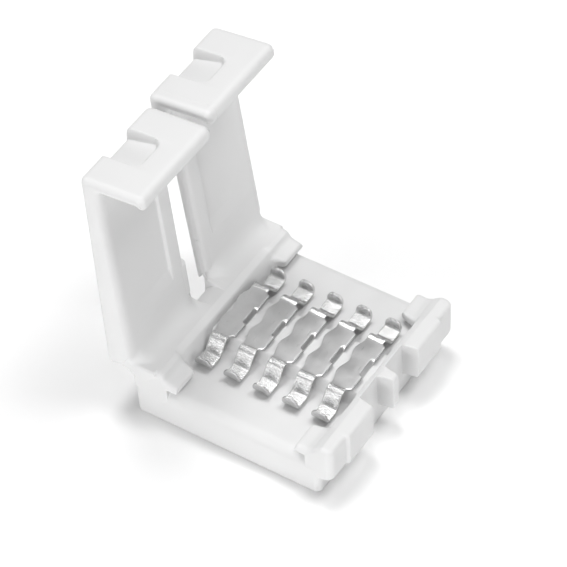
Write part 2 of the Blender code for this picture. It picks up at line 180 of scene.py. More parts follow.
class ContactSizes(bpy.types.PropertyGroup):
    """Sizes of the stamped contacts."""

    pitch: length(2.6, "Distance between contacts")
    sheet: length(0.2, "Thickness of the sheet")
    foot_width: length(1.4, "Width of the feet and arms")
    plate_width: length(1.85, "Width of the middle plate")
    waist: length(0.3, "Depth of the waist in the plate's left edge")
    side_step: length(0.35, "How far the plate stands out past the foot's right edge")
    plate_half: length(2.44, "From the middle to the plate's end")
    crest_half: length(3.0, "From the middle to where the arm turns down")
    slope_foot: length(3.94, "From the middle to where the arm lands")
    foot_end: length(5.3, "From the middle to the turned-up tip")
    tip_height: length(0.9, "Height of the turned-up tip")
    plate_rise: length(1.1, "Height of the plate over the foot")
    seat_gap: length(0.25, "Room under the feet")
    block_clearance: length(0.3, "Room between the block and the plates")
    leg_length: length(1.6, "Length of the bent-down leg")
    leg_depth: length(0.8, "Depth of the bent-down leg")
    leg_offset: length(0.4, "From the plate's right edge to the leg")
    leg_clearance: length(0.12, "Room round the leg in its pocket")
    notch_half: length(0.85, "From the middle to the notch's end")
    notch_depth: length(0.1, "Depth of the notch over the leg")
    notch_margin: length(0.22, "Width of the margin that turns down into the leg")
    notch_droop: length(0.42, "How far that margin turns down")
    notch_run: length(0.16, "Run of the notch's ends")
    shoulder_run: length(0.3, "Run of the plate's shoulders")
    shoulder_gap: length(0.08, "From the plate's end to its shoulders")
    tip_dome: fraction(0.42, "Rounding of a tip, as a share of the foot's width")
    crinkle_start: length(2.6, "From the middle to where it is crinkled")
    crest_lead: length(0.12, "From the crest's end to its bend's corner")
    crest_bend: length(0.5, "Bend radius at the crest")
    foot_bend: length(0.45, "Bend radius where the arm lands")
    tip_bend: length(0.35, "Bend radius where the tip turns up")
    tip_start: length(0.03, "From that bend to the tip")
    tip_lean: length(0.06, "How far the tip leans outwards")
    sheet_edge: length(0.06, "Rounding of the sheet's edges")
    leg_corner: length(0.2, "Rounding of the leg's lower corners")
    leg_lap: length(0.05, "How far the leg runs up into the plate")
    block_run: length(0.56, "Run of the block's sloped ends")


class LidSizes(bpy.types.PropertyGroup):
    """Sizes of the two hinged lids."""

    thickness: length(1.38, "Thickness of the lid plate at the hook")
    root_thickness: length(2.36, "Thickness of the lid plate at the hinge")
    root_start: length(0.6, "From the hinge line to the plate's inner face")
    root_back: length(0.65, "How far the root reaches behind the hinge line")
    root_undercut: length(1.1, "Height of the root's undercut corner")
    overrun: length(0.35, "How far a lid reaches past the base's end")
    hook_clearance: length(0.2, "Room between the ledges and the closed hook")
    head_gap: length(0.7, "Gap between the two hooks")
    plate_gap: length(2.6, "Gap between the two plates")
    plate_edge: length(1.1, "Thickness of a plate's edge along the gap")
    band_gap: length(1.8, "Gap between the plates' bands along the hinge")
    rear_band_gap: length(2.5, "The same gap, twice the rear lid's part of it")
    band_edge: length(0.85, "Thickness of that band's edge along the gap")
    band_length: length(3.8, "From the hinge line to the end of that band")
    head_start: length(1.7, "From the hook's outer face to where its head widens")
    lift: length(0.1, "From the hinge line to the plate's inner face")
    hook_wall: length(1.0, "Thickness of the hook")
    hook_depth: length(5.5, "From the plate's outer face to the hook's tip")
    barb_clearance: length(0.1, "Room between the ledge and the swinging barb")
    hook_rounding: length(0.55, "Rounding of the hook's upper outer corner")
    tip_rounding: length(0.6, "Rounding of the hook's tip")
    edge_radius: length(0.5, "Rounding of the lid's ends")
    inner_radius: length(0.9, "Rounding of the inner face towards the lid's ends")
    gap_radius: length(0.28, "Rounding of the plate's edge along the gap")
    recess_depth: length(0.25, "Depth of the recess at its step beside the gap")
    recess_rib: length(1.5, "Width of the rib between the recess and the gap")
    recess_step: length(0.2, "Run of the step from that rib to the recess")
    recess_hinge: length(3.4, "From the hinge line to the recess")
    recess_hook: length(1.6, "From the recess to the hook")
    recess_run: length(1.2, "Run of the recess's soft ends")
    notch_width: length(3.0, "Width of the thumb notch")
    notch_length: length(3.3, "Length of the thumb notch down the hook")
    notch_depth: length(0.95, "Depth of the thumb notch at the plate")
    notch_inner_depth: length(0.5, "Depth of the thumb notch at its inner end")
    notch_rounding: length(0.7, "Rounding of the notch's inner corners")
    notch_run: length(0.3, "Run of the notch's sides")
    barb_radius: length(0.15, "Rounding of the corner above the barb")
    root_radius: length(0.2, "Rounding of the root's corners")
    tip_flat: length(0.25, "Flat between the barb and the hook's tip")
    web_reach: length(2.6, "How far the web climbs the lid's inner face")
    web_inner: length(2.05, "How far the web reaches over the base's top")
    web_fillet: length(1.7, "Rounding of the web's two hollow sides")
    web_end: length(1.3, "Run over which the web thins towards its ends")
    web_lip: length(0.72, "How far the web's lower lip stands out from the base")
    web_lip_height: length(4.22, "Height of that lip")
    web_lip_radius: length(0.15, "Rounding of that lip")
    web_bottom: length(2.75, "Height of the web's lower end on the base")
    web_proud: length(0.04, "How far the web stands proud of what it joins")
    web_sunk: length(0.3, "How far its hidden sides lie in the base")
    web_film: length(0.003, "How far its inner end lies over the base")
    web_foot: length(0.004, "How far its lower end lies over the base")
    web_core: length(0.5, "How far its upper end lies in the lid")
    web_taper: fraction(0.3, "Share of the web's rounding that is left at its ends")
    inner_share: fraction(0.6, "Share of the inner rounding that lowers that face")
    head_step: length(0.1, "Slope of the side where the head widens")
    bevel: angle(35.0, "Slope of the outer face along the gap")
    skin: length(0.01, "How far an overlapping stretch lies under its neighbour")


class Finishes(bpy.types.PropertyGroup):
    """Colours and gloss of the two materials."""

    plastic: grey(0.72, "Colour of the moulding")
    plastic_roughness: fraction(0.55, "Gloss of the moulding")
    metal: grey(0.66, "Colour of the tin plate")
    metal_roughness: fraction(0.3, "Gloss of the tin plate")


class StageSizes(bpy.types.PropertyGroup):
    """Camera, surroundings and floor."""

    azimuth: angle(34.675, "Camera's bearing round the part")
    elevation: angle(47.222, "Camera's height over the floor")
    roll: angle(-3.024, "Camera's turn about its own line of sight")
    distance: length(233.5, "From the camera to the point it looks at")
    lens: FloatProperty(description="Focal length in millimetres", default=194.76, min=1)
    aim: FloatVectorProperty(description="Point that the camera looks at", subtype="XYZ", size=3,
                             default=(-0.002008, 0.002668, 0.006650))
    floor_half: length(600.0, "Half the width of the floor")
    floor_drop: length(0.02, "How far the floor lies under the part")
    floor_colour: grey(0.95, "Colour of the floor")
    mirrored: fraction(0.36, "Surroundings as glossy surfaces show them")
    cast: fraction(0.17, "Surroundings as a source of light")
    contact_count: IntProperty(description="How many contacts the base holds", default=5, min=1)


def smooth_step(value, edge, run):
    """Zero below the edge, one above it, by 3t squared minus 2t cubed across the run."""
    t = np.clip((value - edge) / run + 0.5, 0.0, 1.0)
    return t * t * (3.0 - 2.0 * t)


def inset(radius, away):
    """Quarter-round end: radius minus the root of radius squared less the missing run squared."""
    missing = radius - np.clip(away, 0.0, radius)
    return radius - np.sqrt(np.maximum(radius ** 2 - missing ** 2, 0.0))


def between(first, second, share):
    """Straight blend: first plus the share of the way to second."""
    return first + (second - first) * share


def stations(low, high, spacing, fine):
    """Even stations from low to high, with extra ones across each (place, run) of a fine step."""
    runs = [np.linspace(low, high, int((high - low) / spacing) + 2)]
    for place, run in fine:
        runs.append(place + np.linspace(-0.5, 0.5, 9) * run)
    every = np.unique(np.round(np.concatenate(runs), 4))
    return every[(every >= low) & (every <= high)]


def rounded_run(radius):
    """Distances from a rounded end, spaced as the cosine so that the arc is even."""
    return radius * (1.0 - np.cos(np.linspace(0.0, math.pi / 2, 8)))


def end_stations(low, high, radius):
    """Stations across two rounded ends."""
    return np.concatenate([low + rounded_run(radius), high - rounded_run(radius)])


class Outline:
    """Corners of a cross-section in order, each with its place and rounding at every station."""

    EDGE_SHARE = 0.98

    def __init__(self, count):
        self.count = count
        self.corners = []
        self.radii = []

    def add(self, *corners):
        """Add (x, z, radius) corners, each value a number or one number for each station."""
        for corner in corners:
            x, z, radius = (np.broadcast_to(np.asarray(value, float), self.count)
                            for value in corner)
            self.corners.append(np.stack([x, z], axis=-1))
            self.radii.append(radius)

    def rounded(self, steps):
        """Sections with each corner replaced by a parabola tangent to its two edges.

        The parabola starts radius over the tangent of half the corner's angle away from the
        corner, or nearer where two corners must share an edge, each in proportion to what it
        needs. It blends start, corner and end with weights (1 - t) squared, 2 t (1 - t) and
        t squared.
        """
        here = np.stack(self.corners, axis=1)
        radius = np.stack(self.radii, axis=1)
        back = np.roll(here, 1, axis=1) - here
        ahead = np.roll(here, -1, axis=1) - here
        back_run = np.linalg.norm(back, axis=-1)
        ahead_run = np.linalg.norm(ahead, axis=-1)
        product = np.maximum(back_run * ahead_run, 1e-12)
        cosine = np.clip((back * ahead).sum(axis=-1) / product, -1.0, 1.0)
        tangent = np.sqrt((1.0 - cosine) / np.maximum(1.0 + cosine, 1e-9))
        need = radius / np.maximum(tangent, 1e-6) + 1e-6
        back_share = back_run * need / (need + np.roll(need, 1, axis=1))
        ahead_share = ahead_run * need / (need + np.roll(need, -1, axis=1))
        trim = np.minimum(need, self.EDGE_SHARE * np.minimum(back_share, ahead_share))
        start = here + back * (trim / np.maximum(back_run, 1e-9))[..., None]
        stop = here + ahead * (trim / np.maximum(ahead_run, 1e-9))[..., None]
        t = np.linspace(0.0, 1.0, steps)[None, None, :, None]
        start, here, stop = (points[:, :, None] for points in (start, here, stop))
        curve = (1 - t) ** 2 * start + 2 * t * (1 - t) * here + t ** 2 * stop
        return curve.reshape(self.count, -1, 2)


def tube_faces(rows, columns, first=0):
    """Quads between neighbouring rows of a grid whose columns close on themselves."""
    row, column = np.meshgrid(np.arange(rows - 1), np.arange(columns), indexing="ij")
    following = (column + 1) % columns
    corners = (row * columns + column, row * columns + following,
               (row + 1) * columns + following, (row + 1) * columns + column)
    return first + np.stack(corners, axis=-1).reshape(-1, 4)


def signed_volume(points, quads):
    """A sixth of the sum over triangles of the first corner dotted with the cross of the others."""
    a, b, c, d = (points[quads[:, i]] for i in range(4))
    first = np.einsum("ij,ij->i", a, np.cross(b, c)).sum()
    second = np.einsum("ij,ij->i", a, np.cross(c, d)).sum()
    return (first + second) / 6.0


def put(name, data):
    """A new object with this data, linked to the scene."""
    made = bpy.data.objects.new(name, data)
    bpy.context.scene.collection.objects.link(made)
    return made


def solid_from_tubes(name, tubes, smooth_angle=38.0):
    """One object in metres from closed tubes in millimetres, each a (rows, columns, 3) array."""
    points, faces, first = [], [], 0
    for tube in tubes:
        rows, columns, _ = tube.shape
        flat = tube.reshape(-1, 3)
        quads = tube_faces(rows, columns)
        low_cap = np.arange(columns)[::-1]
        high_cap = np.arange(columns) + (rows - 1) * columns
        if signed_volume(flat - flat.mean(axis=0), quads) < 0:
            quads, low_cap, high_cap = quads[:, ::-1], low_cap[::-1], high_cap[::-1]
        points.append(flat)
        faces += (quads + first).tolist()
        faces += [(cap + first).tolist() for cap in (low_cap, high_cap)]
        first += len(flat)
    mesh = bpy.data.meshes.new(name)
    mesh.from_pydata((np.concatenate(points) * MM).tolist(), [], faces)
    shape = bmesh.new()
    shape.from_mesh(mesh)
    bmesh.ops.remove_doubles(shape, verts=shape.verts, dist=WELD * MM)
    bmesh.ops.triangulate(shape, faces=[face for face in shape.faces if len(face.verts) > 4],
                          quad_method="BEAUTY", ngon_method="EAR_CLIP")
    bmesh.ops.recalc_face_normals(shape, faces=shape.faces)
    shape.to_mesh(mesh)
    shape.free()
    mesh.shade_smooth()
    mesh.set_sharp_from_angle(angle=math.radians(smooth_angle))
    return put(name, mesh)


def carried(sections, y):
    """Sections of (x, z) points set at their stations along Y."""
    along = np.broadcast_to(y[:, None], sections.shape[:2])
    return np.stack([sections[..., 0], along, sections[..., 1]], axis=-1)


def opened(x, z, degrees):
    """Turn (x, z) about the hinge line, from closed to open by the angle given."""
    cosine, sine = math.cos(math.radians(degrees)), math.sin(math.radians(degrees))
    dx, dz = x - HINGE_X, z - HINGE_Z
    return HINGE_X + dx * cosine - dz * sine, HINGE_Z + dx * sine + dz * cosine


class Socket:
    """A shader value that can be added, multiplied and so on with ordinary operators."""

    def __init__(self, graph, link):
        self.graph = graph
        self.link = link

    def maths(self, operation, *values):
        return self.graph.node("ShaderNodeMath", {"operation": operation}, dict(enumerate(values)))

    def __add__(self, other):
        return self.maths("ADD", self, other)

    def __radd__(self, other):
        return self.maths("ADD", other, self)

    def __sub__(self, other):
        return self.maths("SUBTRACT", self, other)

    def __rsub__(self, other):
        return self.maths("SUBTRACT", other, self)

    def __mul__(self, other):
        return self.maths("MULTIPLY", self, other)

    def __rmul__(self, other):
        return self.maths("MULTIPLY", other, self)


class Graph:
    """The nodes of a material or a world, made one at a time by a single method."""

    def __init__(self, owner):
        owner.use_nodes = True
        self.owner = owner
        self.nodes = owner.node_tree.nodes
        self.links = owner.node_tree.links

    def feed(self, node, inputs):
        """Set or link a node's sockets, named or numbered."""
        for key, value in inputs.items():
            socket = node.inputs[key]
            if isinstance(value, Socket):
                self.links.new(value.link, socket)
            else:
                socket.default_value = value

    def node(self, kind, settings=None, inputs=None, output=0):
        """Make a node, apply its settings, feed its sockets and return one output."""
        made = self.nodes.new(kind)
        for key, value in (settings or {}).items():
            setattr(made, key, value)
        self.feed(made, inputs or {})
        return Socket(self, made.outputs[output])

    def finish(self, inputs):
        """Feed the material's surface and return the material."""
        self.feed(self.nodes["Principled BSDF"], inputs)
        return self.owner

    def noise(self, scale, detail, roughness=0.5):
        """Noise on the object's own coordinates, with so many waves a metre along each axis."""
        place = self.node("ShaderNodeTexCoord", output="Object")
        place = self.node("ShaderNodeMapping", {}, {"Vector": place, "Scale": scale})
        return self.node("ShaderNodeTexNoise", {}, {"Vector": place, "Scale": 1.0, "Detail": detail,
                                                    "Roughness": roughness})

    def blend(self, factor, first, second):
        """Mix of two colours."""
        factor_socket, first_socket, second_socket, result = 0, 6, 7, 2
        return self.node("ShaderNodeMix", {"data_type": "RGBA"}, {
            factor_socket: factor, first_socket: first, second_socket: second}, result)

    def bump(self, height, strength, distance):
        """Bump from a height."""
        return self.node("ShaderNodeBump", {}, {
            "Height": height, "Strength": strength, "Distance": distance})


def shade(colour, factor):
    """A colour with each channel times a factor, and opaque."""
    return (*[min(channel * factor, 1.0) for channel in colour], 1.0)


def moulded_plastic(name, finishes):
    """White moulded plastic: satin, with flow clouds, faint sinks and a fine spark grain."""
    graph = Graph(bpy.data.materials.new(name))
    clouds = graph.noise((260.0, 260.0, 260.0), 2.0)
    grain = graph.noise((9000.0, 9000.0, 9000.0), 3.0, 0.6)
    sinks = graph.noise((700.0, 700.0, 700.0), 1.0)
    return graph.finish({
        "Base Color": graph.blend(clouds, shade(finishes.plastic, 0.985),
                                  shade(finishes.plastic, 1.015)),
        "Roughness": finishes.plastic_roughness - 0.05 + clouds * 0.1,
        "Normal": graph.bump(grain * 0.25 + sinks * 0.75, 0.08, 0.00004),
        "IOR": 1.49,
    })


def tin_plate(name, finishes, plate_end):
    """Tin-plated sheet: satin metal with rolling lines and soft dents, crinkled where it is bent.

    The crinkle comes in by a ramp that starts at the plate's end, in metres from the middle,
    and is clamped at 1.
    """
    graph = Graph(bpy.data.materials.new(name))
    rolling = graph.noise((16000.0, 900.0, 16000.0), 3.0)
    dents = graph.noise((1400.0, 1400.0, 1400.0), 2.0)
    place = graph.node("ShaderNodeTexCoord", output="Object")
    along = graph.node("ShaderNodeSeparateXYZ", {}, {"Vector": place}, "Y")
    past_plate = along.maths("ABSOLUTE", along) - plate_end
    bent = graph.node("ShaderNodeMath", {"operation": "MULTIPLY", "use_clamp": True},
                      {0: past_plate, 1: 3000.0})
    crinkle = graph.noise((9000.0, 6000.0, 9000.0), 3.0, 0.75) * bent
    return graph.finish({
        "Base Color": graph.blend(dents, shade(finishes.metal, 0.92), shade(finishes.metal, 1.08)),
        "Metallic": 1.0,
        "Roughness": finishes.metal_roughness - 0.06 + rolling * 0.12 - bent * 0.08,
        "Normal": graph.bump(rolling * 0.2 + dents * 0.8 + crinkle * 9.0, 0.3, 0.00004),
    })


def dress(piece, surface, body, nodes):
    """Give a piece its material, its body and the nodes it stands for."""
    piece.data.materials.append(surface)
    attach(piece, body)
    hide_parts(*nodes)


def contact_right_edge(index, housing, contact, count):
    """Right edge of a contact's foot, the row being centred in the slot."""
    middle = BASE_LOW[0] + housing.hinge_wall + housing.slot_undercut + housing.slot_width / 2
    return middle + (index - (count - 1) / 2) * contact.pitch + contact.foot_width / 2


def housing_outline(y, s, c, count):
    """Section of the base: outer walls and ledges, then the channel from the latch side across.

    Overhang is the sum of each part's reach times its own window along Y. The ears fade into
    plain walls by the same kind of window, and the ends are drawn in by quarter rounds. The two
    wall tops are quarter rounds given by three corners, at 0, 45 and 90 degrees, flattened
    where they run down into an ear.
    """
    half = BASE_HIGH[1]
    wall = s.width / 2
    reach = np.abs(y)
    away = half - reach
    side = inset(s.corner_radius, away)
    top = BASE_HIGH[2] - inset(s.edge_radius, away)
    foot = inset(s.foot_radius, away)
    level = block_level(reach, s.floor - inset(s.sill_radius, away), s, c)
    ear = smooth_step(reach, half - s.ear_length, s.ear_run)
    past_ledge = smooth_step(reach, s.ledge_outer, s.step_run)
    at_ledge = smooth_step(reach, s.ledge_inner, s.step_run) - past_ledge
    at_divider = 1.0 - smooth_step(reach, s.divider / 2, s.step_run)
    overhang = s.corner_overhang * past_ledge + s.ledge_overhang * (at_ledge + at_divider)
    outer = wall + overhang - side
    hinge = BASE_LOW[0] + s.hinge_wall
    slot_left = hinge + s.slot_undercut
    slot_right = slot_left + s.slot_width
    hinge_tip, latch_tip = slot_left + s.ear_reach, slot_right - s.ear_reach
    latch = slot_right + s.latch_setback
    crown = np.minimum(latch + s.latch_rounding, outer - CRISP)
    ear_under = s.floor + s.slot_height + foot
    ear_top = s.floor + s.slot_height + s.ear_thickness - inset(s.edge_radius, away)
    upper, middle, lower = (between(ear_top, level, depth) for depth in EAR_DEPTHS)
    turn = 1.0 - math.sqrt(0.5)
    soft = between(s.soft_radius, 2 * s.soft_radius, ear)
    eased = between(s.soft_radius, 2 * s.ear_fillet, ear)
    slot = between(s.soft_radius, s.slot_corner, ear)
    rounding = s.hinge_rounding * between(1.0, EAR_HINGE, ear)
    at_gap = 1.0 - smooth_step(reach, s.gap_cut, s.soft_radius)

    def lean(z):
        """Hinge wall's inner side, leaning in towards the floor in proportion to the depth."""
        return hinge + s.wall_lean * (ear_top - z) / (ear_top.max() - s.floor)

    outline = Outline(len(y))
    outline.add(
        (-wall + side, foot, s.foot_radius), (wall - side, foot, s.foot_radius),
        (wall - side, s.underside, s.edge_radius), (outer, s.underside + foot, s.edge_radius),
        (outer, top, s.edge_radius), (crown, top, s.soft_radius),
        (between(latch, crown, turn),
         top - turn * s.latch_rounding * between(1.0, EAR_CROWN, ear), soft),
        (latch, top - s.latch_rounding * between(1.0, EAR_CREST, ear), soft),
        (latch - s.ear_fillet * ear, ear_top, eased),
        (between(latch, latch_tip, ear), between(upper, ear_top, ear), s.soft_radius),
        (between(latch, latch_tip, ear), between(middle, ear_under, ear), s.slot_radius),
        (between(latch, slot_right, ear), between(lower, ear_under, ear), s.slot_radius),
        (between(latch, slot_right, ear), level, slot))
    leg_pockets(outline, reach, level, s, c, count)
    outline.add(
        (between(hinge + s.wall_lean, slot_left, ear), level, slot),
        (between(lean(lower), slot_left, ear), between(lower, ear_under, ear), s.slot_radius),
        (between(lean(middle), hinge_tip, ear), between(middle, ear_under, ear), s.slot_radius),
        (between(lean(upper), hinge_tip, ear), between(upper, ear_top - s.ear_fall, ear),
         s.soft_radius),
        (hinge + s.ear_fillet * ear, ear_top + s.ear_rise * ear, eased),
        (hinge, top - rounding, soft),
        (hinge - turn * rounding, top - turn * rounding, s.soft_radius),
        (hinge - rounding, top, s.soft_radius),
        (-wall + side, top, between(s.edge_radius, s.gap_rounding, at_gap)))
    return outline


def block_level(reach, floor, s, c):
    """Height of the channel's floor, raised to the block that carries the contacts."""
    top_half = c.plate_half - c.block_clearance
    rise = smooth_step(-reach, -top_half - c.block_run / 2, c.block_run)
    return between(floor, s.floor + c.seat_gap + c.plate_rise - c.block_clearance, rise)


def leg_pockets(outline, reach, level, s, c, count):
    """Pockets for the contacts' legs, as part of the floor's outline."""
    bottom = s.floor + c.seat_gap + c.plate_rise - c.leg_depth - c.leg_clearance
    sunk = 1.0 - smooth_step(reach, c.leg_length / 2 + c.leg_clearance, s.ear_run)
    for index in reversed(range(count)):
        leg = contact_right_edge(index, s, c, count) + c.side_step - c.leg_offset
        pocket_right = leg + c.leg_clearance
        pocket_left = leg - c.sheet - c.leg_clearance
        deep = between(level, bottom, sunk)
        outline.add((pocket_right, level, CRISP), (pocket_right, deep, CRISP),
                    (pocket_left, deep, CRISP), (pocket_left, level, CRISP))


def band_start(name, s):
    """Where the hinge band of one lid starts, from the middle."""
    return (s.band_gap if name == LIDS[0] else s.rear_band_gap) / 2


def lid_outline(y, s, underside, ledge_x, zone, band):
    """Section of a closed lid: wedge plate, hook, barb on an arc about the hinge, thumb notch.

    Along the gap the outer face is bevelled, so the section there is cut off at the bevel's
    height. The zone is the whole lid, or the head or the hinge band where they reach on alone
    into the gap.
    """
    under = HINGE_Z + s.lift
    top = under + s.thickness
    crown = under + s.root_thickness
    inner = ledge_x + s.hook_clearance
    outer = inner + s.hook_wall
    head_x = outer - s.head_start
    end = BASE_HIGH[1] + s.overrun
    reach = np.abs(y)
    away = end - reach
    gap, edge = (band, s.band_edge) if zone == "band" else (s.plate_gap / 2, s.plate_edge)
    lap = 0.0 if zone == "lid" else s.skin
    head_ease = inset(s.edge_radius, np.minimum(away, reach - s.head_gap / 2)) + lap
    ease = np.maximum(inset(s.edge_radius, away), inset(s.gap_radius, reach - gap)) + lap
    bevel = under + edge + math.tan(s.bevel) * (reach - gap)
    rounding = np.maximum(inset(s.inner_radius, away), inset(s.inner_radius / 2, reach - gap))
    face = under + np.maximum(rounding * s.inner_share, ease)

    def back(x):
        """Straight line from the root's crown to the hook's outer corner."""
        return crown + (top - crown) * (x - HINGE_X) / (outer - HINGE_X)

    def bevelled(x):
        """That line, cut off by the bevel."""
        return np.minimum(back(x), bevel) - ease

    outline = Outline(len(y))
    if zone == "head":
        outline.add((head_x, under + head_ease, NEAT))
    else:
        outline.add((HINGE_X + s.root_start, face, NEAT))
    if zone == "lid":
        recess = s.recess_depth * smooth_step(reach, gap + s.recess_rib, s.recess_step)
        recess = recess * np.clip(away / (end - gap - s.recess_rib), 0.0, 1.0)
        low, high = HINGE_X + s.recess_hinge, inner - s.recess_hook
        run = s.recess_run
        outline.add((low, face, run), (low + run, face + recess, run),
                    (high - run, face + recess, run), (high, face, run))
    if zone == "band":
        band_x = HINGE_X + s.band_length
        outline.add((band_x, face, s.gap_radius), (band_x, bevelled(band_x), s.gap_radius))
    else:
        hook_corners(outline, reach, s, head_ease, underside, ledge_x)
        outline.add((head_x + s.head_step, back(head_x) - head_ease, NEAT))
    if zone == "head":
        outline.add((head_x, top - head_ease, NEAT))
        return outline
    if zone == "lid":
        outline.add((head_x - s.head_step, bevelled(head_x - s.head_step), NEAT))
    root_corners(outline, s, under, crown, ease, bevel)
    return outline


def hook_corners(outline, reach, s, ease, underside, ledge_x):
    """Hook wall from its inner corner round the barb and the tip to the notched outer corner."""
    under = HINGE_Z + s.lift
    top = under + s.thickness
    inner = ledge_x + s.hook_clearance
    outer = inner + s.hook_wall
    tip = top - s.hook_depth
    middle = (s.head_gap / 2 + BASE_HIGH[1] + s.overrun) / 2
    off_middle = np.abs(reach - middle)
    cut = 1.0 - smooth_step(off_middle, s.notch_width / 2, s.notch_run)
    corner = np.clip(off_middle - (s.notch_width / 2 - s.notch_rounding), 0.0, s.notch_rounding)
    rise = s.notch_rounding - np.sqrt(s.notch_rounding ** 2 - corner ** 2)
    notch_end = top - s.notch_length + rise
    sweep = math.hypot(ledge_x - HINGE_X, underside - HINGE_Z) + s.barb_clearance
    levels = [between(underside, tip, depth) for depth in (0.2, 0.5, 0.75)]
    barb = [HINGE_X + math.sqrt(sweep ** 2 - (level - HINGE_Z) ** 2) for level in levels]
    outline.add((inner + ease, under + ease, s.edge_radius),
                (inner + ease, underside, s.barb_radius))
    outline.add(*[(x + ease, level, NEAT) for x, level in zip(barb, levels)])
    outline.add(
        (barb[-1] + s.tip_flat + ease, tip + ease, s.tip_flat),
        (outer - ease, tip + ease, s.tip_rounding), (outer - ease, notch_end, s.notch_run),
        (outer - ease - s.notch_inner_depth * cut, notch_end + s.notch_run * cut, s.notch_run),
        (outer - ease - s.notch_depth * cut, top - ease, s.hook_rounding))


def root_corners(outline, s, under, crown, ease, bevel):
    """Thick root behind the hinge line, its corners kept under the bevel's height."""
    back = HINGE_X - s.root_back
    upper = [(HINGE_X, crown), (back + s.root_back / 3, crown - s.root_back / 8),
             (back, crown - s.root_back / 2)]
    lower = [(back + s.root_back / 4, under + s.root_undercut),
             (HINGE_X + s.root_start / 6, under + s.root_start)]
    side = [(HINGE_X + s.root_start, under)] + lower[::-1] + upper[-1:]
    cut_x = np.interp(bevel, [z for _, z in side], [x for x, _ in side])
    outline.add(*[(np.maximum(x, cut_x) + ease, np.minimum(z, bevel) - ease, s.root_radius)
                  for x, z in upper])
    outline.add(*[(np.maximum(x, cut_x) + ease, np.minimum(z, bevel - ease), s.root_radius)
                  for x, z in lower])


def web_outline(y, s, height, degrees, start):
    """Section of the flexible web at rest: wide fillet inside, concave sweep outside.

    The fillet shrinks by a smooth step towards both ends, where the inner side falls away in
    quarter rounds.
    """
    under = HINGE_Z + s.lift
    wall = BASE_LOW[0]
    reach = np.abs(y)
    away = np.minimum(reach - start, BASE_HIGH[1] - reach)
    ease = inset(s.gap_radius, away)
    inner_ease = inset(s.inner_radius, away) * s.inner_share
    fillet = s.web_fillet * between(s.web_taper, 1.0, smooth_step(away, s.web_end / 2, s.web_end))
    inner_x, inner_z = opened(HINGE_X + s.web_reach, under, degrees)
    core_x, core_z = opened(HINGE_X + s.web_reach, under + s.web_core, degrees)
    root_top = under + s.root_thickness - s.root_back * WEB_DOWN
    root_x, root_z = opened(HINGE_X - s.root_back * WEB_ACROSS, root_top, degrees)
    foot_x, _ = opened(HINGE_X, under, degrees)
    bevel = foot_x - s.band_edge / 2 - math.tan(s.bevel) * (reach - start)
    hidden = wall + s.web_sunk
    outline = Outline(len(y))
    outline.add(
        (wall + s.web_inner + NEAT, height - s.web_sunk, CRISP),
        (wall + s.web_inner, height + s.web_film - ease, CRISP),
        (foot_x + s.web_proud - inner_ease, height + s.web_proud / 2 - ease, fillet),
        (inner_x + s.web_proud / 4 - inner_ease, inner_z, CRISP), (core_x, core_z, CRISP),
        (np.maximum(root_x, bevel) + ease, root_z + ease, NEAT),
        (np.maximum(wall - s.web_lip, bevel) + ease, s.web_lip_height + ease, s.web_lip_radius),
        (wall - s.web_proud + ease, s.web_lip_height - s.web_lip_radius, s.web_fillet),
        (wall - s.web_foot + ease, s.web_bottom, s.web_sunk), (hidden, s.web_bottom, CRISP))
    return outline


def sheet_line(c, floor):
    """Bent sheet's centre line in (y, z): crest, arm, foot and tip, mirrored about the middle.

    The line is an outline of corners rounded by their bend radius, read as one open run.
    """
    lift = floor + c.seat_gap + c.sheet / 2
    crown = lift + c.plate_rise
    half = [(c.plate_half, crown, NEAT), (c.crest_half + c.crest_lead, crown, c.crest_bend),
            (c.slope_foot, lift, c.foot_bend), (c.foot_end - c.tip_start, lift, c.tip_bend),
            (c.foot_end + c.tip_lean, lift + c.tip_height, CRISP)]
    outline = Outline(1)
    outline.add(*[(-y, z, radius) for y, z, radius in reversed(half)], *half)
    return outline.rounded(BEND_STEPS)[0]


def evenly(line, spacing):
    """Points at even spacing along a polyline, with their tangents."""
    run = np.concatenate([[0.0], np.cumsum(np.linalg.norm(np.diff(line, axis=0), axis=1))])
    keep = np.concatenate([[True], np.diff(run) > 1e-6])
    run, line = run[keep], line[keep]
    places = np.linspace(0.0, run[-1], int(run[-1] / spacing) + 2)
    points = np.stack([np.interp(places, run, line[:, axis]) for axis in (0, 1)], axis=-1)
    tangents = np.gradient(points, axis=0)
    return places, points, tangents / np.linalg.norm(tangents, axis=1, keepdims=True)


def ribbon(points, normals, left, right, droop, c):
    """Sheet carried along (y, z) points: a rounded bar whose right margin can droop."""
    half = c.sheet / 2
    margin = right - c.notch_margin
    outline = Outline(len(points))
    outline.add(*[(x, z, c.sheet_edge) for x, z in (
        (left, -half), (margin, -half), (right, -half - droop), (right, half - droop),
        (margin, half), (margin - NEAT, half), (left, half))])
    across = outline.rounded(EDGE_STEPS)
    y = points[:, None, 0] + across[..., 1] * normals[:, None, 0]
    z = points[:, None, 1] + across[..., 1] * normals[:, None, 1]
    return np.stack([across[..., 0], y, z], axis=-1)


